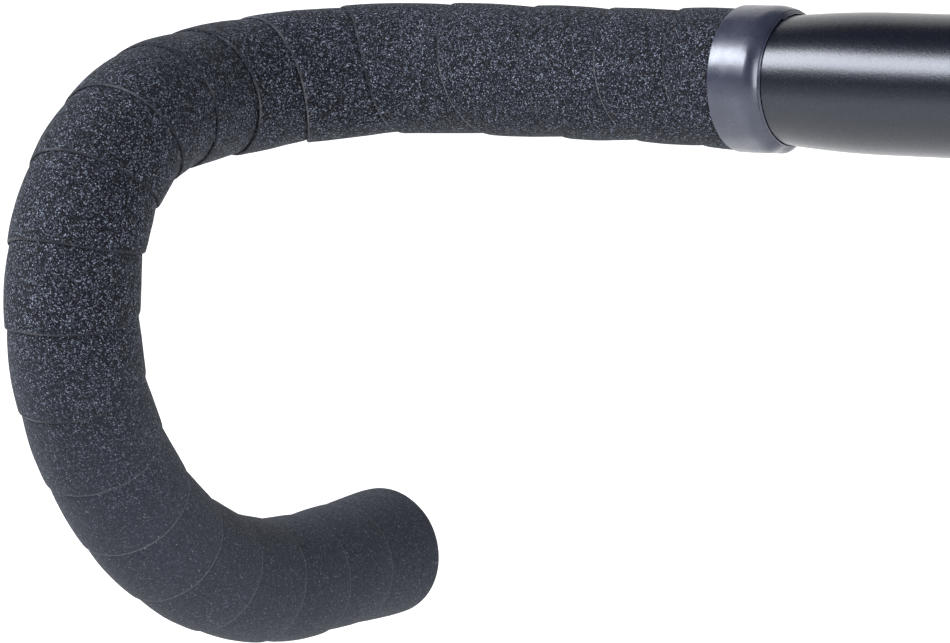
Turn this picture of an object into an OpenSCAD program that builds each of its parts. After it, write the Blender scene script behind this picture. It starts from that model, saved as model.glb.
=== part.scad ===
// Drop handlebar with wrapped grip tape and expanding bar-end plugs.
// +X is the rider's right, +Y is forward, +Z is up. The origin is the centre of the stem clamp.

/* [Bar shape] */
// Width between the two ramps, centre to centre
bar_width = 414; // [380:2:460]
// Centreline radius of the bend from the tops into the ramps
top_bend_radius = 43.5; // [40:0.5:50]
// Downward slope of the ramps, in degrees
ramp_slope = 8.1; // [0:0.1:10]
// Straight length of each ramp
ramp_length = 9.4; // [5:0.1:20]
// Outward lean of the drops below the ramps, in degrees
drop_flare = 4.4; // [0:0.1:8]
// Centreline radius of the front of the hook
hook_front_radius = 37.9; // [34:0.1:45]
// Angle of the front of the hook, in degrees
hook_front_angle = 79.1; // [70:0.1:85]
// Centreline radius of the middle of the hook
hook_middle_radius = 62.9; // [50:0.1:80]
// Angle of the middle of the hook, in degrees
hook_middle_angle = 32.5; // [25:0.1:40]
// Centreline radius of the lower part of the hook
hook_lower_radius = 97.9; // [80:0.1:120]
// Upward slope of the bar's end towards the rider, in degrees
end_rise = 2.7; // [0:0.1:6]
// Straight length at each end of the bar
end_length = 34.5; // [32:0.5:60]

/* [Tube] */
// Outer diameter of the tube's grip area
tube_diameter = 23.8; // [22.2:0.1:24.2]
// Wall of the tube
tube_wall = 1.7; // [1.5:0.1:1.9]
// Outer diameter at the stem clamp
clamp_diameter = 31.8; // [31.8:0.1:35]
// Length of the straight clamp area
clamp_length = 90; // [70:1:100]
// Length of the taper from the clamp area down to the grip area
taper_length = 66; // [50:1:70]

/* [Grip tape] */
// Thickness of the wrapped tape over the grip area, where its turns overlap
wrap_thickness = 3.4; // [2.5:0.1:3.6]
// Distance from the centre of the bar to the inner end of the tape
tape_start = 73.5; // [60:0.5:80]
// Radius of the tape where it ends near the clamp
collar_radius = 16.3; // [15.5:0.05:16.5]
// Distance from the centre of the bar to the finishing tape
band_start = 71; // [60:0.5:78]
// Width of the finishing tape
band_width = 12.5; // [10:0.5:20]
// Thickness of the wound finishing tape
band_thickness = 0.3; // [0.15:0.05:0.5]
// Thickness of the adhesive backing
adhesive_thickness = 0.2; // [0.1:0.05:0.25]
// Thickness of the tape that folds over the bar's end
fold_thickness = 2.5; // [1.5:0.1:3]
// Radius of the tape where it bulges at the fold
fold_radius = 15.8; // [15.3:0.05:16]
// Length of the tape tucked into the bar's end
tuck_length = 25; // [25:1:30]

/* [Bar-end plug] */
// Radius of the cap's flange
cap_radius = 11.5; // [10.5:0.1:12]
// Height of the cap's flange
cap_height = 2.2; // [2:0.1:3]
// Radius of the expander jaws when tightened
jaw_radius = 8.6; // [8.3:0.05:8.6]
// Width of the slits between the jaws
jaw_slit = 1.5; // [1.5:0.1:2]
// Half angle of the two cones, in degrees
cone_angle = 20; // [18:1:22]
// Small radius of the two cones
cone_tip_radius = 4.5; // [4.2:0.1:4.6]
// Length of each cone
cone_length = 8.5; // [8:0.1:8.6]
// Nominal diameter of the plug's screw
screw_diameter = 5; // [5:0.5:5]

/* [Hidden] */
$fn = 96;

RIGHT = 1;
LEFT = -1;

// Gaps that keep neighbouring solids from sharing a surface
skin_gap = 0.05;
// The pieces of a bent tube meet at a hairline groove, over a thin joining ring inside the wall
joint_gap = 0.05;
joint_inset = 0.05;
joint_half = 0.15;
plug_gap = 0.2;
cone_gap = 0.1;

// Radii of the tube and of the layers on it
tube_r = tube_diameter / 2;
bore_r = tube_r - tube_wall;
clamp_r = clamp_diameter / 2;
adhesive_in = tube_r + skin_gap;
adhesive_out = adhesive_in + adhesive_thickness;
tape_in = adhesive_out + skin_gap;
tape_out = tube_r + wrap_thickness;
band_in = collar_radius + skin_gap;
band_end = band_start + band_width;
taper_start = clamp_length / 2;
taper_end = taper_start + taper_length;
taper_steps = 22;

// The tape's fold over the end of the bar and its tuck inside
tuck_out = bore_r - skin_gap;
tuck_in = jaw_radius + cone_gap;
fold_rounding = 2.5;
fold_start = -18;
fold_full = -7;

// Heights along the plug, measured outwards from the bar's end face
cap_base = fold_thickness + plug_gap;
cap_top = cap_base + cap_height;
cap_edge = 1;
shank_r = 8.2;
shank_end = -5;
screw_r = screw_diameter / 2 - 0.05;
screw_hole_r = screw_diameter / 2 + 0.25;
screw_head_r = 4.25;
screw_head_h = 3;
screw_end = -31;
socket_width = 4;
socket_depth = 2.2;
washer_r = 5;
washer_h = 0.6;
recess_r = 5.3;
recess_floor = cap_top - screw_head_h - washer_h - 0.3;
cone_base_radius = cone_tip_radius + cone_length * tan(cone_angle);
wedge_tip = -16.5;
wedge_base = wedge_tip - cone_length;
wedge_end = wedge_base - 3;
nut_width = 8;
nut_height = 4;
nut_fit = 0.05;
jaw_top = -7;
jaw_bottom = -23;
jaw_count = 3;
ring_r = 0.5;
ring_groove = 1.1;
ring_centre = (jaw_top + jaw_bottom) / 2;

// Directions of the right half's centreline
forward = [0, 1, 0];
flare_down = [sin(drop_flare), 0, -cos(drop_flare)];
ramp_dir = forward * cos(ramp_slope) + flare_down * sin(ramp_slope);
bend_angle = acos(ramp_dir.x);
bend_axis = cross([1, 0, 0], ramp_dir) / norm(cross([1, 0, 0], ramp_dir));
hook_axis = cross(forward, flare_down);
hook_lower_angle = 180 + end_rise - ramp_slope - hook_front_angle - hook_middle_angle;

// The tops end where the bend must begin for the drops to stand bar_width apart
bend_reach_x = cross(bend_axis, [1, 0, 0]).x * top_bend_radius
    + turned(-cross(bend_axis, [1, 0, 0]), bend_axis, bend_angle).x * top_bend_radius;
tops_end = bar_width / 2 - bend_reach_x;

// A vector turned by an angle about a unit axis
function turned(v, axis, angle) =
    v * cos(angle) + cross(axis, v) * sin(angle) + axis * (axis * v) * (1 - cos(angle));

// Each piece of the route is [axis, radius, angle] for an arc, or [axis, 0, length] for a straight
route = [
    [bend_axis, top_bend_radius, bend_angle],
    [hook_axis, 0, ramp_length],
    [hook_axis, hook_front_radius, hook_front_angle],
    [hook_axis, hook_middle_radius, hook_middle_angle],
    [hook_axis, hook_lower_radius, hook_lower_angle],
    [hook_axis, 0, end_length]
];

function step_dir(d, piece) = piece[1] == 0 ? d : turned(d, piece[0], piece[2]);
function step_point(p, d, piece) = piece[1] == 0
    ? p + d * piece[2]
    : p + cross(piece[0], d) * piece[1]
        + turned(-cross(piece[0], d), piece[0], piece[2]) * piece[1];

// Start point and direction of each piece, and those of the bar's end after the last
function walk(i = 0, p = [tops_end, 0, 0], d = [1, 0, 0]) = i == len(route)
    ? [[p, d]]
    : concat([[p, d]], walk(i + 1, step_point(p, d, route[i]), step_dir(d, route[i])));
stations = walk();
end_point = stations[len(route)][0];
end_dir = stations[len(route)][1];

// Radius of the bare tube, and of the tape over it, at a distance x from the centre of the bar
function ease(t) = (1 + cos(180 * min(max(t, 0), 1))) / 2;
function bare_r(x) = tube_r + (clamp_r - tube_r) * ease((x - taper_start) / taper_length);
function wrapped_r(x) =
    tape_out + (collar_radius - tape_out) * ease((x - tape_start) / (taper_end - tape_start));

// Points [r, x] along the taper and the straight tops, at an offset from the bare tube
function bare_line(from, offset) = concat(
    [
        for (i = [0:taper_steps])
            let (x = from + (taper_end - from) * i / taper_steps)
                [bare_r(x) + offset, x]
    ],
    [[tube_r + offset, tops_end - joint_gap]]
);

// The same along the outside of the tape, from the outer end back to the inner one
function wrapped_line(from) = concat(
    [[tape_out, tops_end - joint_gap]],
    [
        for (i = [taper_steps:-1:0])
            let (x = from + (taper_end - from) * i / taper_steps)
                [wrapped_r(x), x]
    ]
);

function reversed(list) = [for (i = [len(list) - 1:-1:0]) list[i]];

// Places its children on the right half, or mirrored on the left half
module on_side(side) {
    if (side == RIGHT) children();
    else mirror([1, 0, 0]) children();
}

// Turns a solid of revolution about Z so that it stands about X
module about_x() {
    rotate([0, 90, 0]) children();
}

module ring_profile(r_out, r_in) {
    difference() {
        circle(r = r_out);
        circle(r = r_in);
    }
}

// Places its children at the start of a piece of the route: +Z points along the bar
module at_station(i) {
    p = stations[i][0];
    d = stations[i][1];
    axis = i < len(route) ? route[i][0] : hook_axis;
    side_dir = cross(d, axis);
    multmatrix([
        [side_dir.x, -axis.x, d.x, p.x],
        [side_dir.y, -axis.y, d.y, p.y],
        [side_dir.z, -axis.z, d.z, p.z],
        [0, 0, 0, 1]
    ])
        children();
}

// Places its children at the bar's end: +Z points out of the bar along its axis
module at_bar_end() {
    at_station(len(route)) children();
}

// One piece of the route, with the given outer and inner radius, a hairline short at its far end
module route_piece(i, r_out, r_in) {
    radius = route[i][1];
    at_station(i)
        if (radius == 0) linear_extrude(route[i][2] - joint_gap) ring_profile(r_out, r_in);
        else translate([-radius, 0, 0]) rotate([-90, 0, 0]) mirror([0, 1, 0])
            rotate_extrude(angle = route[i][2] - joint_gap / radius * 180 / PI)
                translate([radius, 0]) ring_profile(r_out, r_in);
}

// The bent part of a sleeve, as far as the given piece of the route, joined to what comes before
module route_sleeve(r_out, r_in, last) {
    for (i = [0:last]) {
        route_piece(i, r_out, r_in);
        joining_ring(i, r_out, r_in);
    }
}

module joining_ring(i, r_out, r_in) {
    at_station(i) translate([0, 0, -joint_half]) linear_extrude(2 * joint_half)
        ring_profile(r_out - joint_inset, r_in + joint_inset);
}

module handlebar_tube() {
    outside = bare_line(taper_start, 0);
    inside = bare_line(taper_start, -tube_wall);
    color([0.10, 0.10, 0.11]) union() {
        about_x() rotate_extrude() polygon(concat(
            [for (q = reversed(outside)) [q.x, -q.y]],
            outside,
            reversed(inside),
            [for (q = inside) [q.x, -q.y]]
        ));
        for (side = [RIGHT, LEFT])
            on_side(side) route_sleeve(tube_r, bore_r, len(route) - 1);
    }
}

// A layer that lies on the tube from the inner end of the tape to the bar's end
module adhesive_backing(side) {
    color([0.75, 0.74, 0.68]) on_side(side) {
        about_x() rotate_extrude() polygon(concat(
            bare_line(tape_start, skin_gap),
            reversed(bare_line(tape_start, skin_gap + adhesive_thickness))
        ));
        route_sleeve(adhesive_out, adhesive_in, len(route) - 1);
    }
}

// The last straight stretch of the tape, its rounded fold over the bar's end, and its tuck inside
module tape_end() {
    rounding_steps = 8;
    rotate_extrude() polygon(concat(
        [
            [tape_in, -end_length],
            [tape_out, -end_length]
        ],
        [
            for (i = [0:rounding_steps])
                let (t = i / rounding_steps)
                    [
                        fold_radius + (tape_out - fold_radius) * ease(t),
                        fold_start + (fold_full - fold_start) * t
                    ]
        ],
        [
            for (i = [0:rounding_steps])
                let (a = 90 * i / rounding_steps)
                    [
                        fold_radius - fold_rounding * (1 - cos(a)),
                        fold_thickness - fold_rounding * (1 - sin(a))
                    ]
        ],
        [
            [tuck_in, fold_thickness],
            [tuck_in, -tuck_length],
            [tuck_out, -tuck_length],
            [tuck_out, skin_gap],
            [tape_in, skin_gap]
        ]
    ));
}

module grip_tape(side) {
    color([0.16, 0.17, 0.19]) on_side(side) {
        about_x() rotate_extrude() polygon(concat(
            bare_line(tape_start, tape_in - tube_r),
            wrapped_line(tape_start)
        ));
        route_sleeve(tape_out, tape_in, len(route) - 2);
        joining_ring(len(route) - 1, tape_out, tape_in);
        at_bar_end() tape_end();
    }
}

// A band wound over the inner end of the tape, with its own inner edge drawn in to the bare tube
module finishing_tape(side) {
    lip_r = bare_r(band_start) + skin_gap;
    step_x = tape_start - skin_gap;
    color([0.22, 0.24, 0.27]) on_side(side) about_x() rotate_extrude() polygon([
        [lip_r, band_start],
        [band_in, step_x],
        [band_in, band_end],
        [band_in + band_thickness, band_end],
        [band_in + band_thickness, step_x],
        [lip_r + band_thickness, band_start]
    ]);
}

module end_cap(side) {
    color([0.07, 0.07, 0.08]) on_side(side) at_bar_end() rotate_extrude() polygon([
        [screw_hole_r, shank_end - cone_length],
        [cone_tip_radius, shank_end - cone_length],
        [cone_base_radius, shank_end],
        [shank_r, shank_end],
        [shank_r, cap_base],
        [cap_radius, cap_base],
        [cap_radius, cap_top - cap_edge],
        [cap_radius - cap_edge, cap_top],
        [recess_r, cap_top],
        [recess_r, recess_floor],
        [screw_hole_r, recess_floor]
    ]);
}

module plug_washer(side) {
    color([0.72, 0.72, 0.74]) on_side(side) at_bar_end()
        translate([0, 0, recess_floor]) linear_extrude(washer_h)
            ring_profile(washer_r, screw_hole_r);
}

module plug_screw(side) {
    head_base = recess_floor + washer_h + skin_gap;
    color([0.62, 0.62, 0.65]) on_side(side) at_bar_end() difference() {
        union() {
            translate([0, 0, head_base]) cylinder(r = screw_head_r, h = screw_head_h);
            translate([0, 0, screw_end]) cylinder(r = screw_r, h = head_base - screw_end);
        }
        translate([0, 0, head_base + screw_head_h - socket_depth])
            cylinder(r = socket_width / 2 / cos(30), h = socket_depth + 1, $fn = 6);
    }
}

module captive_nut(side) {
    color([0.80, 0.68, 0.36]) on_side(side) at_bar_end()
        translate([0, 0, wedge_end + nut_fit]) difference() {
            cylinder(r = nut_width / 2 / cos(30), h = nut_height - 2 * nut_fit, $fn = 6);
            translate([0, 0, -1]) cylinder(r = screw_diameter / 2, h = nut_height + 2);
        }
}

module cone_wedge(side) {
    color([0.12, 0.12, 0.13]) on_side(side) at_bar_end() difference() {
        rotate_extrude() polygon([
            [0, wedge_tip],
            [cone_tip_radius, wedge_tip],
            [cone_base_radius, wedge_base],
            [cone_base_radius, wedge_end],
            [0, wedge_end]
        ]);
        translate([0, 0, wedge_end - 1])
            cylinder(r = screw_hole_r, h = wedge_tip - wedge_end + 2);
        translate([0, 0, wedge_end - 1])
            cylinder(r = nut_width / 2 / cos(30) + nut_fit * 2, h = nut_height + 1, $fn = 6);
    }
}

// One third of the split expander, whose inner faces lie on the two cones
module jaw(side, index) {
    clear = cone_gap / cos(cone_angle);
    neck = cone_tip_radius + clear;
    mouth = neck + (wedge_tip - jaw_bottom) * tan(cone_angle);
    angle = 360 / jaw_count;
    color([0.13, 0.13, 0.14]) on_side(side) at_bar_end()
        rotate([0, 0, angle * index]) difference() {
            rotate([0, 0, -angle / 2]) rotate_extrude(angle = angle) difference() {
                polygon([
                    [mouth, jaw_bottom],
                    [jaw_radius, jaw_bottom],
                    [jaw_radius, jaw_top],
                    [mouth, jaw_top],
                    [neck, jaw_top - (mouth - neck) / tan(cone_angle)],
                    [neck, wedge_tip]
                ]);
                translate([jaw_radius - ring_groove, ring_centre - ring_r * 1.6])
                    square([ring_groove + 1, ring_r * 3.2]);
            }
            for (edge = [-1, 1])
                rotate([0, 0, edge * angle / 2])
                    translate([0, -jaw_slit / 2, jaw_bottom - 1])
                        cube([jaw_radius + 1, jaw_slit, jaw_top - jaw_bottom + 2]);
        }
}

module retaining_ring(side) {
    color([0.05, 0.05, 0.05]) on_side(side) at_bar_end()
        translate([0, 0, ring_centre]) rotate_extrude()
            translate([jaw_radius - ring_groove + skin_gap + ring_r, 0]) circle(r = ring_r);
}

handlebar_tube();
grip_tape(RIGHT);  // right_grip_tape
adhesive_backing(RIGHT);  // right_adhesive_backing
finishing_tape(RIGHT);  // right_finishing_tape
end_cap(RIGHT);  // right_end_cap
plug_washer(RIGHT);  // right_plug_washer
plug_screw(RIGHT);  // right_plug_screw
captive_nut(RIGHT);  // right_captive_nut
cone_wedge(RIGHT);  // right_cone_wedge
jaw(RIGHT, 0);  // right_jaw_1
jaw(RIGHT, 1);  // right_jaw_2
jaw(RIGHT, 2);  // right_jaw_3
retaining_ring(RIGHT);  // right_retaining_ring
grip_tape(LEFT);  // left_grip_tape
adhesive_backing(LEFT);  // left_adhesive_backing
finishing_tape(LEFT);  // left_finishing_tape
end_cap(LEFT);  // left_end_cap
plug_washer(LEFT);  // left_plug_washer
plug_screw(LEFT);  // left_plug_screw
captive_nut(LEFT);  // left_captive_nut
cone_wedge(LEFT);  // left_cone_wedge
jaw(LEFT, 0);  // left_jaw_1
jaw(LEFT, 1);  // left_jaw_2
jaw(LEFT, 2);  // left_jaw_3
retaining_ring(LEFT);  // left_retaining_ring
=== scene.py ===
"""Looks of a drop handlebar: spiral-wrapped foam tape, vinyl finishing bands, plugs and the bare tube."""
import math

import bpy
import numpy as np
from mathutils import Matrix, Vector


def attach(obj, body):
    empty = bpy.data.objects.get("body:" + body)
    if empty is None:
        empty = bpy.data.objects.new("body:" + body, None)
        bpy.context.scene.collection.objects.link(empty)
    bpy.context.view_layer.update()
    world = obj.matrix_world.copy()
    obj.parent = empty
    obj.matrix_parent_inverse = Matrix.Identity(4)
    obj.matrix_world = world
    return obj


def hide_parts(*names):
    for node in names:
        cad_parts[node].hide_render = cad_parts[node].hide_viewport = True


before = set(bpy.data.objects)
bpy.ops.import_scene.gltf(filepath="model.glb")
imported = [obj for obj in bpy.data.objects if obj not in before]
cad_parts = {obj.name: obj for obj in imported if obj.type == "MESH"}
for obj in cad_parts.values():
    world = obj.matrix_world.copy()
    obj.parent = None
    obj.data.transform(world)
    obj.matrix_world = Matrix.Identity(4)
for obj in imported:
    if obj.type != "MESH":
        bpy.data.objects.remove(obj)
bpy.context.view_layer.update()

MM = 0.001
TURN = 2 * math.pi

# The bar's shape, in millimetres and degrees, as in the CAD source
BAR_WIDTH = 414
BEND_RADIUS = 43.5
RAMP_SLOPE = 8.1
RAMP_LENGTH = 9.4
FLARE = 4.4
HOOK_ARCS = [(37.9, 79.1), (62.9, 32.5), (97.9, 63.0)]
END_LENGTH = 34.5
TUBE_R = 11.9
BULGE_R = 15.9
TAPER_START = 45
TAPER_LENGTH = 66
TAPE_START = 73.5
COLLAR_R = 16.3
BAND_START = 71
BAND_WIDTH = 12.5

# The wrap: its pitch at places along the bar, counted from the tape's inner end
WRAP_PHASE = -4.54
PITCH_PLACES = [0, 70, 105, 135, 185, 230, 300, 345, 397]
PITCHES = [15.9, 22.0, 28.0, 20.2, 13.6, 17.3, 19.6, 20.7, 14.0]
# Round the hook the turns lie square to the bar on this side and lean on the other
SQUARE_SIDE = np.array([-0.5555, 0.8252, 0.1021])
SQUARE_FROM, SQUARE_TO = 124, 210
# Where the strip starts, its last turn, and the radius of its low line with the swell above it
FIRST_LENGTH = -6.0
LAST_TURN = 15.15
STEPS_A_TURN = 72
TAPE_LOW_R = 14.78
TAPE_RISE = 0.62

# The route's table: its step, and how far it runs past the route's two ends
TABLE_STEP = 0.25
TABLE_BEFORE, TABLE_BEYOND = 12.0, 4.0
SMOOTHING_STEPS = 20


# ---------------------------------------------------------------- route of the bar

def turned(v, axis, angle):
    """v turned by an angle in radians about a unit axis."""
    return (v * math.cos(angle) + np.cross(axis, v) * math.sin(angle)
            + axis * np.dot(axis, v) * (1 - math.cos(angle)))


class Route:
    """Centreline of the right half from the tape's inner end to the bar's end, in millimetres."""

    def __init__(self):
        slope, flare = math.radians(RAMP_SLOPE), math.radians(FLARE)
        forward = np.array([0.0, 1.0, 0.0])
        down = np.array([math.sin(flare), 0.0, -math.cos(flare)])
        ramp = forward * math.cos(slope) + down * math.sin(slope)
        x_axis = np.array([1.0, 0.0, 0.0])
        bend_axis = np.cross(x_axis, ramp)
        bend_axis /= np.linalg.norm(bend_axis)
        bend_angle = math.acos(ramp[0])
        hook_axis = np.cross(forward, down)
        spoke = np.cross(bend_axis, x_axis)
        reach = (spoke - turned(spoke, bend_axis, bend_angle))[0] * BEND_RADIUS
        tops_end = BAR_WIDTH / 2 - reach
        self.pieces = []
        self._add(np.array([TAPE_START, 0.0, 0.0]), x_axis, hook_axis, 0, tops_end - TAPE_START,
                  np.array([0.0, 0.0, 1.0]))
        self._go(bend_axis, BEND_RADIUS, bend_angle)
        self._go(hook_axis, 0, RAMP_LENGTH)
        for radius, angle in HOOK_ARCS:
            self._go(hook_axis, radius, math.radians(angle))
        self._go(hook_axis, 0, END_LENGTH)
        self.length = sum(p["length"] for p in self.pieces)

    def _add(self, start, way, axis, radius, extent, top):
        self.pieces.append({
            "start": start, "way": way, "axis": axis, "radius": radius, "top": top,
            "length": extent * radius if radius else extent,
        })

    def _go(self, axis, radius, extent):
        start, way, top = self._within(self.pieces[-1], self.pieces[-1]["length"])
        self._add(start, way, axis, radius, extent, top)

    @staticmethod
    def _within(piece, s):
        start, way, axis, radius = piece["start"], piece["way"], piece["axis"], piece["radius"]
        if not radius:
            return start + way * s, way, piece["top"]
        angle = s / radius
        spoke = np.cross(axis, way)
        point = start + (spoke - turned(spoke, axis, angle)) * radius
        return point, turned(way, axis, angle), turned(piece["top"], axis, angle)

    def at(self, s):
        """Point, direction, top vector, and inward bend vector times curvature, at arc length s."""
        rest = s
        for piece in self.pieces:
            if rest <= piece["length"] or piece is self.pieces[-1]:
                break
            rest -= piece["length"]
        point, way, top = self._within(piece, rest)
        inward = np.zeros(3)
        if piece["radius"]:
            inward = np.cross(piece["axis"], way) / piece["radius"]
        return point, way, top, inward


ROUTE = Route()


class Table:
    """The route sampled finely, so that many points can be looked up at once."""

    def __init__(self):
        self.s = np.arange(-TABLE_BEFORE, ROUTE.length + TABLE_BEYOND, TABLE_STEP)
        rows = [ROUTE.at(s) for s in self.s]
        self.point, self.way, self.top, self.inward = (np.array(c) for c in zip(*rows))
        self.side = np.cross(self.way, self.top)
        kernel = np.hanning(2 * SMOOTHING_STEPS + 1)
        kernel /= kernel.sum()
        self.inward = np.stack([
            np.convolve(np.pad(self.inward[:, i], SMOOTHING_STEPS, mode="edge"), kernel, "valid")
            for i in range(3)
        ], axis=1)

    def look(self, name, s):
        rows = getattr(self, name)
        return np.stack([np.interp(s, self.s, rows[:, i]) for i in range(3)], axis=-1)

    def place(self, s, angle, radius):
        """Points at arc length s, at an angle round the bar from its top, at a radius."""
        top, side = self.look("top", s), self.look("side", s)
        ray = top * np.cos(angle)[..., None] + side * np.sin(angle)[..., None]
        return self.look("point", s) + ray * radius[..., None]

    def inwardness(self, s, angle):
        """From -1 on the outside of the tightest bend to 1 on its inside."""
        ray = (self.look("top", s) * np.cos(angle)[..., None]
               + self.look("side", s) * np.sin(angle)[..., None])
        return (ray * self.look("inward", s)).sum(-1) * HOOK_ARCS[0][0]


TABLE = Table()


def ease(t):
    """From 1 at t = 0 to 0 at t = 1, level at both ends."""
    return (1 + np.cos(math.pi * np.clip(t, 0, 1))) / 2


def turns_at(s):
    """How many turns of the wrap lie before arc length s."""
    count = np.cumsum(TABLE_STEP / np.interp(TABLE.s, PITCH_PLACES, PITCHES))
    return WRAP_PHASE + np.interp(s, TABLE.s, count - np.interp(0, TABLE.s, count))


TURNS = turns_at(TABLE.s)


def length_at(turns, angle):
    """Arc length of a point of the wrap, with the turns squared up on one side of the hook."""
    s = np.interp(turns, TURNS, TABLE.s)
    facing = np.arctan2(TABLE.look("side", s) @ SQUARE_SIDE, TABLE.look("top", s) @ SQUARE_SIDE)
    square = 1 - ease((s - SQUARE_FROM) / (SQUARE_TO - SQUARE_FROM))
    return np.interp(turns - square * np.sin(angle - facing) / TURN, TURNS, TABLE.s)


def bare_r(s):
    """Radius of the bare tube at arc length s from the tape's inner end."""
    x = s + TAPE_START
    return TUBE_R + (BULGE_R - TUBE_R) * ease((x - TAPER_START) / TAPER_LENGTH)


def waves(a, b, seed, octaves=4):
    """A smooth seeded ripple over two coordinates, about -1 to 1."""
    rng = np.random.default_rng(seed)
    total = np.zeros(np.broadcast(a, b).shape)
    for i in range(octaves):
        for _ in range(3):
            fa, fb = rng.uniform(0.6, 1.6, 2) * 1.7 ** i
            ph = rng.uniform(0, TURN, 2)
            total += np.sin(a * fa + ph[0]) * np.cos(b * fb + ph[1]) / 1.6 ** i
    return total / 4


# ---------------------------------------------------------------- meshes

def signed_volume(points, faces):
    """The volume that a mesh's quads enclose, negative if they look inward."""
    quads = np.array([f for f in faces if len(f) == 4])
    a, b, c, d = (points[quads[:, i]] for i in range(4))
    return float((np.cross(b - a, c - a) * a + np.cross(c - a, d - a) * a).sum()) / 6


def new_mesh(name, points, faces, mirror):
    """A smooth-shaded closed mesh from points in millimetres, mirrored to the left if asked."""
    points = points.reshape(-1, 3) * MM
    if mirror:
        points[:, 0] *= -1
    mesh = bpy.data.meshes.new(name)
    mesh.from_pydata(points.tolist(), [], faces)
    mesh.update()
    if signed_volume(points, faces) < 0:
        mesh.flip_normals()
    mesh.polygons.foreach_set("use_smooth", [True] * len(mesh.polygons))
    piece = bpy.data.objects.new(name, mesh)
    bpy.context.scene.collection.objects.link(piece)
    return piece


def swept_faces(rings, count, closed_path=False):
    """Faces of a closed section of count points carried along rings, with end caps."""
    faces = []
    for i in range(rings if closed_path else rings - 1):
        a, b = i * count, (i + 1) % rings * count
        for j in range(count):
            k = (j + 1) % count
            faces.append((a + j, a + k, b + k, b + j))
    if not closed_path:
        faces.append(tuple(range(count - 1, -1, -1)))
        faces.append(tuple((rings - 1) * count + j for j in range(count)))
    return faces


# The strip's hidden tail, as a share of the pitch; how deep it lies under the next turn, how far the
# raised edge turns under, and how thick the strip is, in millimetres
HIDDEN_TAIL = 0.30
BURIED = 0.34
EDGE_DROP = 0.30
STRIP_THICKNESS = 2.3


def crown(f):
    """How the exposed surface of a turn swells from its buried side to its raised edge."""
    rise = np.sin(np.clip(f / 0.72, 0, 1) * math.pi / 2) ** 0.9
    return rise - 0.16 * np.clip((f - 0.72) / 0.28, 0, 1) ** 2


# Across the strip's top from its tail to its raised edge: the buried flank, the exposed swell, the rim
FLANK = [(-HIDDEN_TAIL, 0.0, BURIED + 0.1), (-0.12, 0.0, BURIED), (-0.03, 0.0, BURIED * 0.8),
         (-0.008, 0.0, 0.16), (0.012, 0.0, 0.03)]
EXPOSED = [0.035, 0.07, 0.12, 0.18, 0.26, 0.36, 0.46, 0.56, 0.66, 0.75, 0.83, 0.90, 0.94, 0.972]
RIM = [(0.984, 0.03), (0.991, 0.09), (0.997, 0.19), (0.999, 0.33)]
TOP_COUNT = len(FLANK) + len(EXPOSED)


def tape_section():
    """Points round the tape's section: share across the pitch, share of the rise, drop in mm."""
    top = FLANK + [(f, float(crown(f)), 0.0) for f in EXPOSED]
    edge = [(f, float(crown(1.0)), drop) for f, drop in RIM]
    edge += [(0.994, 0.0, 0.20), (0.985, 0.0, EDGE_DROP)]
    under = [(0.74, 0.0, EDGE_DROP)]
    under += [(f, 0.0, STRIP_THICKNESS) for f in (0.64, 0.2, -HIDDEN_TAIL)]
    return np.array(top + edge + under)


def swell(s, middle, spread):
    """A smooth hump of height 1 along the bar."""
    return np.exp(-((s - middle) / spread) ** 2)


def tape_base(s, angle):
    """Radius of the tape's low line: fat over the taper, full at the hook's front, drawn tight below."""
    collar = ease(s / (TAPER_START + TAPER_LENGTH - TAPE_START))
    sag = (swell(s, 138, 30) * np.clip(np.cos(angle - 3.7), 0, 1)
           + 0.5 * swell(s, 160, 30) * np.clip(np.cos(angle - 0.6), 0, 1))
    return (TAPE_LOW_R + (COLLAR_R - 0.45 - TAPE_LOW_R) * collar + 0.75 * sag
            + 0.30 * swell(s, 222, 22) - 0.45 * swell(s, 305, 55))


def wrap_tape(name, mirror, seed):
    """The foam tape as one strip wound round the bar, each turn lapping over the next one out.

    Its edge rises over the inside of the bends, where it goes slack, and sinks away in the last turn.
    """
    section = tape_section()
    first = float(turns_at(FIRST_LENGTH))
    steps = int((LAST_TURN - first) * STEPS_A_TURN)
    turns = np.linspace(first, LAST_TURN, steps)[:, None]
    angle = (turns * TURN) % TURN
    f, rise, drop = (section[:, i][None, :] for i in range(3))
    wobble = waves(turns * 2.1, turns * 0.37, seed, 3) * 0.012
    s = length_at(turns + f + wobble, angle)
    inside = TABLE.inwardness(s, angle)
    slack = 1 + 0.55 * np.clip(inside, 0, 1) + 0.18 * waves(turns * 3.0, turns * 0.9, seed + 1, 3)
    fade = np.clip((LAST_TURN - turns) * 3.0, 0, 1)
    fade = fade * fade * (3 - 2 * fade)
    lumps = waves(s * 0.16, np.cos(angle) * 2.2 + turns * 0.3, seed + 2) * 0.13
    radius = tape_base(s, angle) + rise * TAPE_RISE * slack * (0.35 + 0.65 * fade) - drop + lumps
    radius = radius - (1 - fade) * 0.5
    s = np.maximum(s, 0.0)
    radius = np.maximum(radius, bare_r(s) + 0.25)
    piece = new_mesh(name, TABLE.place(s, angle, radius), swept_faces(steps, len(section)), mirror)
    paint(piece, FOAM, CUT_EDGE)
    index = np.arange(len(section))
    rim = (index >= TOP_COUNT - 1) & (index < TOP_COUNT + len(RIM) - 1)
    two_caps = [False, False]
    marks = np.append(np.tile(rim, steps - 1), two_caps)
    piece.data.polygons.foreach_set("material_index", marks.astype(int))
    return piece


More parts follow.
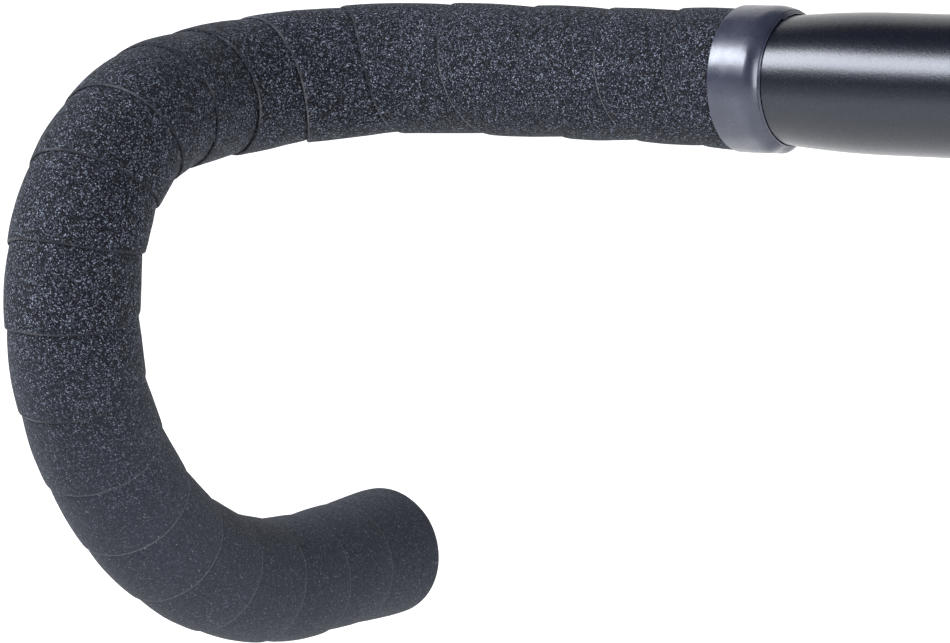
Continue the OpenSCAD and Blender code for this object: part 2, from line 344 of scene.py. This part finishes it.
def fold_outline():
    """The fold's section: distance past the bar's end and radius, out along the top and back inside."""
    outside = [(-46, 13.2), (-34, 14.0), (-26, 14.5), (-21, 14.85), (-17, 15.15), (-13, 15.42),
               (-9, 15.68), (-5, 15.84), (-2, 15.88)]
    rounding = [(0.1 + 2.8 * math.sin(a), 13.05 + 2.8 * math.cos(a))
                for a in np.linspace(0, math.pi / 2, 11)]
    face = [(2.85, 12.2), (2.7, 11.0), (2.4, 10.0)]
    tuck = [(1.9, 9.3), (1.1, 8.9), (-1.0, 8.78), (-12, 8.75), (-24, 8.8), (-24.6, 9.4)]
    back = [(-24, 10.0), (-1.0, 10.05), (-0.2, 10.4), (0.2, 11.5), (-0.2, 12.15), (-20, 12.2), (-46, 12.2)]
    return np.array(outside + rounding + face + tuck + back), len(outside + rounding + face)


def end_fold(name, mirror, seed):
    """The first turn at the bar's end, folded over the rim and tucked into the bore."""
    around = 128
    outline, shown = fold_outline()
    phi = np.linspace(0, TURN, around, endpoint=False)[:, None]
    past, radius = (outline[:, i][None, :] for i in range(2))
    outside = np.clip((radius - 10.2) / 4.0, 0, 1) * (np.arange(len(outline)) < shown)
    ripple = ((np.sin(phi) + np.sin(phi * 2 + seed)) * 0.07
              + waves(past * 0.2, np.cos(phi + 1) * 2.5, seed, 3) * 0.12)
    on_face = np.clip(1 - np.abs(radius - 10.9) / 2.6, 0, 1) * (past > 0.5)
    pleat = on_face * np.sin(phi * 17 + np.sin(phi * 3) * 2) * 0.16
    points = TABLE.place(ROUTE.length + past + pleat, phi, radius + ripple * outside)
    return new_mesh(name, points, swept_faces(around, len(outline), True), mirror)


def vinyl_band(name, mirror, seed):
    """The finishing tape: a thin vinyl strip wound a little over two turns, drawn in at its inner edge."""
    turns_total, steps_a_turn, first_turn, thick = 2.35, 160, 0.95, 0.13
    across = np.array([0, 0.015, 0.05, 0.1, 0.17, 0.25, 0.35, 0.5, 0.65, 0.8, 0.9, 0.96, 0.99, 1.0])
    steps = int(turns_total * steps_a_turn)
    turns = np.linspace(0, turns_total, steps)[:, None]
    angle = (turns + first_turn) * TURN
    share = np.concatenate([across, across[::-1]])[None, :]
    upper = np.concatenate([np.ones(len(across)), np.zeros(len(across))])[None, :]
    band_start = BAND_START - TAPE_START
    shift = 1.1 * (turns / turns_total) + 0.16 * waves(angle, angle * 0.2, seed, 3)
    s = band_start - 0.9 + shift + share * (BAND_WIDTH - 0.4)
    drawn = np.clip(1 - (s - band_start) / 3.4, 0, 1.25)
    gap = np.clip(np.cos(angle - 0.4), 0, 1) ** 2
    lip = 1.75 * (1 - 0.55 * gap) * drawn ** 2.2
    below = np.clip(-np.cos(angle), 0, 1) ** 2
    strength = np.where(np.cos(angle) < -0.2, 1.0, 0.4)
    pucker = below * strength * np.sin(angle * 13 + share * 2.0) * 0.26 * (1 - share)
    radius = (COLLAR_R + 0.10 - lip + turns * thick + upper * thick * 0.85 + pucker
              + 0.05 * waves(angle * 1.5, s * 0.8, seed + 3, 3) - 0.10 * share ** 3)
    radius = np.maximum(radius, bare_r(s) + 0.06 + turns * thick * 0.5 + upper * thick * 0.8)
    return new_mesh(name, TABLE.place(s, angle, radius), swept_faces(steps, share.shape[1]), mirror)


# ---------------------------------------------------------------- materials

class Nodes:
    """Short-hand for building a node material."""

    def __init__(self, name):
        self.material = bpy.data.materials.new(name)
        self.material.use_nodes = True
        self.tree = self.material.node_tree
        self.shader = self.tree.nodes["Principled BSDF"]

    def add(self, kind, inputs=(), **settings):
        node = self.tree.nodes.new(kind)
        for key, value in settings.items():
            setattr(node, key, value)
        for socket, value in dict(inputs).items():
            self.feed(node.inputs[socket], value)
        return node

    def feed(self, socket, value):
        if isinstance(value, bpy.types.NodeSocket):
            self.tree.links.new(value, socket)
        else:
            socket.default_value = value

    def set(self, **values):
        """Sets or links the shader's own sockets, by name with _ for each space."""
        for key, value in values.items():
            self.feed(self.shader.inputs[key.replace("_", " ")], value)

    def place(self):
        return self.add("ShaderNodeTexCoord").outputs["Object"]

    def height(self):
        return self.add("ShaderNodeSeparateXYZ", {"Vector": self.place()}).outputs["Z"]

    def noise(self, scale, detail=3.0, rough=0.55):
        node = self.add("ShaderNodeTexNoise", {"Scale": scale, "Detail": detail, "Roughness": rough})
        self.feed(node.inputs["Vector"], self.place())
        return node.outputs["Fac"]

    def cells(self, scale, what="Distance"):
        node = self.add("ShaderNodeTexVoronoi", {"Scale": scale})
        self.feed(node.inputs["Vector"], self.place())
        return node.outputs[what]

    def span(self, value, low, high, to_low=0.0, to_high=1.0):
        node = self.add("ShaderNodeMapRange", {
            "Value": value, "From Min": low, "From Max": high, "To Min": to_low, "To Max": to_high})
        return node.outputs["Result"]

    def math(self, kind, a, b):
        node = self.add("ShaderNodeMath", operation=kind)
        self.feed(node.inputs[0], a)
        self.feed(node.inputs[1], b)
        return node.outputs["Value"]

    def mix(self, share, a, b):
        node = self.add("ShaderNodeMix", data_type="RGBA")
        self.feed(node.inputs["Factor"], share)
        self.feed(node.inputs["A"], a)
        self.feed(node.inputs["B"], b)
        return node.outputs["Result"]

    def bump(self, height, strength, distance, under=None):
        node = self.add("ShaderNodeBump", {"Height": height, "Strength": strength, "Distance": distance})
        if under is not None:
            self.feed(node.inputs["Normal"], under)
        return node.outputs["Normal"]


def gray(value, blue=0.0):
    return (value, value * (1 + blue * 0.4), value * (1 + blue), 1.0)


def foam_material():
    """Charcoal foam with dense fine pale flecks, calming to an even grey low down: painted light for the
    glints that fade on the lower faces.
    """
    m = Nodes("foam_tape")
    # Painted light: full fleck contrast high up, calming to an even grey towards the bottom, for the glints
    # that fade on the lower faces
    painted_light_fleck_fade = m.span(m.height(), -0.105, -0.055, 0.3, 1.0)
    flecks = m.math("POWER", m.span(m.cells(3900, "Color"), 0.12, 0.92), 6.0)
    flecks = m.span(painted_light_fleck_fade, 0, 1, 0.13, flecks)
    # Painted glints: rare pale specks painted into the colour as the foam's sparkles
    painted_glints = m.math("MULTIPLY", m.span(m.cells(1300), 0.20, 0.08), m.span(m.noise(800, 1.0), 0.54, 0.66))
    dust = m.span(m.noise(60, 4.0), 0.35, 0.75)
    base = m.mix(dust, (0.0014, 0.0017, 0.0030, 1), (0.0028, 0.0032, 0.0056, 1))
    flecked = m.mix(flecks, base, (0.155, 0.174, 0.226, 1))
    color = m.mix(m.math("MULTIPLY", painted_glints, 0.6), flecked, (0.50, 0.47, 0.46, 1))
    grain = m.bump(m.noise(2600, 2.0, 0.7), 1.0, 0.0004)
    soft = m.bump(m.noise(420, 3.0), 0.35, 0.0004, grain)
    m.set(Base_Color=color, Roughness=m.span(m.noise(1400), 0.3, 0.7, 0.60, 0.85), Normal=soft)
    m.set(Sheen_Weight=0.015, Sheen_Roughness=0.5, Sheen_Tint=(0.75, 0.82, 1.0, 1.0), Specular_IOR_Level=0.10)
    return m.material


def cut_edge_material():
    """The foam's skinless cut edge, worn pale in random patches, and paler low along the drops: a painted
    highlight on the lapped edges there.
    """
    m = Nodes("foam_cut_edge")
    patches = m.span(m.noise(45, 3.0), 0.50, 0.66)
    # Painted highlight: the cut edge turns paler towards the bottom, along the drops, for the light lines on
    # the lapped edges; the noise patches are wear
    worn_and_painted_highlight = m.math("MAXIMUM", patches, m.span(m.height(), -0.105, -0.075, 0.9, 0.0))
    speck = m.span(m.noise(2600, 2.0), 0.45, 0.65)
    dark = m.mix(speck, (0.003, 0.0035, 0.006, 1), (0.018, 0.020, 0.028, 1))
    pale = m.mix(speck, (0.035, 0.036, 0.041, 1), (0.10, 0.10, 0.11, 1))
    m.set(Base_Color=m.mix(worn_and_painted_highlight, dark, pale), Roughness=m.span(speck, 0, 1, 0.7, 0.85),
          Normal=m.bump(m.noise(1800), 0.6, 0.0002))
    m.set(Specular_IOR_Level=0.2)
    return m.material


def tube_material():
    """Bead-blasted black anodised alloy with a few nicks."""
    m = Nodes("tube_black_alloy")
    wear = m.span(m.noise(1200, 3.0), 0.4, 0.7)
    nicks = m.span(m.cells(140), 0.035, 0.012)
    nicks = m.math("MULTIPLY", nicks, m.span(m.noise(55, 1.0), 0.54, 0.60))
    color = m.mix(wear, (0.0012, 0.0016, 0.0045, 1), (0.0028, 0.0034, 0.0075, 1))
    color = m.mix(nicks, color, gray(0.35, 0.05))
    blast = m.bump(m.noise(2200, 2.0, 0.6), 0.22, 0.00010)
    m.set(Base_Color=color, Roughness=m.span(m.noise(2500, 2.0), 0.3, 0.7, 0.235, 0.285), Normal=blast)
    m.set(Specular_IOR_Level=0.44, Specular_Tint=(0.88, 0.92, 1.0, 1.0))
    return m.material


def vinyl_material():
    """Stretched glossy vinyl, dark slate, with faint stress haze and rolling ripples."""
    m = Nodes("vinyl_tape")
    haze = m.span(m.noise(160, 5.0, 0.65), 0.42, 0.8)
    color = m.mix(haze, (0.014, 0.016, 0.028, 1), (0.027, 0.030, 0.047, 1))
    ripple = m.bump(m.noise(130, 2.0), 0.22, 0.0006)
    fine = m.bump(m.noise(2400, 2.0), 0.05, 0.0001, ripple)
    m.set(Base_Color=color, Roughness=m.span(m.noise(300), 0.3, 0.75, 0.24, 0.36), Normal=fine)
    m.set(Specular_IOR_Level=0.60, Specular_Tint=(0.88, 0.92, 1.0, 1.0),
          Coat_Weight=0.06, Coat_Roughness=0.15)
    return m.material


def moulded_material(name, shade, rough=0.5):
    """Moulded plastic with a fine spark-eroded texture and patches worn by rubbing."""
    m = Nodes(name)
    rub = m.span(m.noise(90, 5.0), 0.4, 0.75)
    color = m.mix(rub, gray(shade, 0.1), gray(shade * 1.5, 0.1))
    texture = m.bump(m.noise(1800, 3.0), 0.30, 0.00015)
    m.set(Base_Color=color, Roughness=m.span(rub, 0, 1, rough, rough - 0.14), Normal=texture)
    return m.material


def metal_material(name, tint, rough):
    """Plated or turned metal with faint turning marks and stains."""
    m = Nodes(name)
    stain = m.span(m.noise(220, 5.0, 0.6), 0.4, 0.75)
    dark = tuple(c * 0.7 for c in tint[:3]) + (1.0,)
    marks = m.bump(m.noise(3000, 3.0), 0.15, 0.00006)
    m.set(Base_Color=m.mix(stain, tint, dark), Roughness=m.span(m.noise(500), 0.3, 0.7, rough, rough + 0.15),
          Normal=marks)
    m.set(Metallic=1.0)
    return m.material


def film_material():
    """Thin pale adhesive film with dull and shiny patches."""
    m = Nodes("adhesive")
    patch = m.span(m.noise(120, 4.0), 0.4, 0.7)
    m.set(Base_Color=m.mix(patch, (0.55, 0.52, 0.45, 1), (0.70, 0.68, 0.60, 1)),
          Roughness=m.span(patch, 0, 1, 0.35, 0.6), Normal=m.bump(m.noise(900), 0.3, 0.0001))
    return m.material


def rubber_material():
    """Black rubber with a pale bloom."""
    m = Nodes("ring_rubber")
    bloom = m.span(m.noise(260, 4.0), 0.4, 0.8)
    m.set(Base_Color=m.mix(bloom, gray(0.012), gray(0.03)), Roughness=m.span(bloom, 0, 1, 0.45, 0.7),
          Normal=m.bump(m.noise(2000), 0.2, 0.0001))
    return m.material


def paint(piece, *materials):
    piece.data.materials.clear()
    for material in materials:
        piece.data.materials.append(material)


# ---------------------------------------------------------------- assembly

FOAM = foam_material()
CUT_EDGE = cut_edge_material()
VINYL = vinyl_material()
CAD_LOOKS = {
    "handlebar_tube": tube_material(),
    "adhesive_backing": film_material(),
    "end_cap": moulded_material("cap_plastic", 0.014, 0.55),
    "plug_washer": metal_material("washer_steel", (0.62, 0.62, 0.64, 1), 0.28),
    "plug_screw": metal_material("screw_steel", (0.50, 0.50, 0.52, 1), 0.24),
    "captive_nut": metal_material("nut_brass", (0.70, 0.52, 0.22, 1), 0.26),
    "cone_wedge": moulded_material("wedge_nylon", 0.035, 0.5),
    "jaw": moulded_material("jaw_nylon", 0.05, 0.5),
    "retaining_ring": rubber_material(),
}


def dress_cad_nodes():
    """Every CAD node takes the look of the part that its name holds."""
    for name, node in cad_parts.items():
        for part, material in CAD_LOOKS.items():
            if part in name:
                paint(node, material)


def dress_side(side, mirror, seed):
    """The soft pieces of one side, in place of their plain CAD solids."""
    tape = wrap_tape(side + "_wound_tape", mirror, seed)
    fold = end_fold(side + "_tape_end_fold", mirror, seed + 5)
    band = vinyl_band(side + "_vinyl_band", mirror, seed + 9)
    paint(fold, FOAM)
    paint(band, VINYL)
    for piece, node, slot in (
        (tape, "grip_tape", "foam_tape"),
        (fold, "grip_tape", "foam_tape"),
        (band, "finishing_tape", "vinyl_tape"),
    ):
        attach(piece, "bar")
        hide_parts(f"{side}_{node}")


# ---------------------------------------------------------------- stage

def aim(thing, target):
    thing.rotation_euler = (Vector(target) - thing.location).to_track_quat("-Z", "Y").to_euler()


def add_camera():
    data = bpy.data.cameras.new("camera")
    data.sensor_width = 36
    data.lens = 200.8
    data.clip_end = 50
    camera = bpy.data.objects.new("camera", data)
    bpy.context.scene.collection.objects.link(camera)
    camera.location = (-0.5352, 1.0281, 0.0677)
    aim(camera, (0.07655, 0.11911, -0.0447))
    bpy.context.scene.camera = camera


def add_area(name, place, target, size, power, tint=(1, 1, 1)):
    data = bpy.data.lights.new(name, "AREA")
    data.shape = "RECTANGLE"
    data.size, data.size_y = size
    data.energy = power
    data.color = tint
    lamp = bpy.data.objects.new(name, data)
    bpy.context.scene.collection.objects.link(lamp)
    lamp.location = place
    aim(lamp, target)


def add_stage():
    """A pale lit table that sweeps up behind the bar; its back side lets the view through."""
    floor_z, half_width, curve = -0.36, 10, 1.6
    near_edge, curve_start, wall_height, curve_steps = -9.0, 1.2, 4.0, 24
    away = Vector((0.558, -0.830, 0))
    across = Vector((0.830, 0.558, 0))
    rows = [(near_edge, 0.0), (curve_start, 0.0)]
    for i in range(1, curve_steps + 1):
        a = math.pi / 2 * i / curve_steps
        rows.append((curve_start + curve * math.sin(a), curve * (1 - math.cos(a))))
    rows.append((curve_start + curve, wall_height))
    points = [away * back + across * side + Vector((0, 0, floor_z + up))
              for back, up in rows for side in (-half_width, half_width)]
    faces = [(2 * i, 2 * i + 2, 2 * i + 3, 2 * i + 1) for i in range(len(rows) - 1)]
    mesh = bpy.data.meshes.new("floor")
    mesh.from_pydata([tuple(p) for p in points], [], faces)
    mesh.polygons.foreach_set("use_smooth", [True] * len(mesh.polygons))
    floor = bpy.data.objects.new("floor", mesh)
    bpy.context.scene.collection.objects.link(floor)
    m = Nodes("floor_paper")
    tone = m.mix(m.span(m.noise(3), 0.3, 0.7), (0.60, 0.60, 0.60, 1), (0.64, 0.64, 0.64, 1))
    m.set(Base_Color=tone, Roughness=m.span(m.noise(40), 0.3, 0.7, 0.8, 0.95),
          Normal=m.bump(m.noise(600), 0.1, 0.0005))
    m.set(Emission_Color=(1, 1, 1, 1), Emission_Strength=0.82)
    back = m.add("ShaderNodeNewGeometry").outputs["Backfacing"]
    clear = m.add("ShaderNodeBsdfTransparent").outputs["BSDF"]
    either = m.add("ShaderNodeMixShader", {0: back, 1: m.shader.outputs["BSDF"], 2: clear})
    m.feed(m.tree.nodes["Material Output"].inputs["Surface"], either.outputs["Shader"])
    paint(floor, m.material)


def add_world():
    """A dim studio whose far walls look pale to the eye."""
    world = bpy.data.worlds.new("studio")
    world.use_nodes = True
    tree = world.node_tree
    back = tree.nodes["Background"]
    back.inputs["Color"].default_value = (0.95, 0.97, 1.0, 1)
    seen = tree.nodes.new("ShaderNodeLightPath").outputs["Is Camera Ray"]
    strength = tree.nodes.new("ShaderNodeMapRange")
    strength.inputs["To Min"].default_value = 0.10
    strength.inputs["To Max"].default_value = 0.92
    tree.links.new(seen, strength.inputs["Value"])
    tree.links.new(strength.outputs["Result"], back.inputs["Strength"])
    bpy.context.scene.world = world
    bpy.context.scene.view_settings.view_transform = "Standard"


add_camera()
add_world()
add_stage()
add_area("softbox", (0.70, 0.80, 0.62), (0.05, 0.03, -0.02), (1.05, 0.47), 33, (0.94, 0.96, 1.0))
add_area("outer_fill", (1.05, 0.42, 0.12), (0.2, 0.05, -0.05), (0.5, 0.9), 3.5, (0.94, 0.96, 1.0))
add_area("inner_fill", (-1.1, 0.5, 0.15), (0.17, 0.05, -0.08), (0.7, 0.7), 20, (0.94, 0.96, 1.0))
dress_cad_nodes()
dress_side("right", False, 11)
dress_side("left", True, 47)
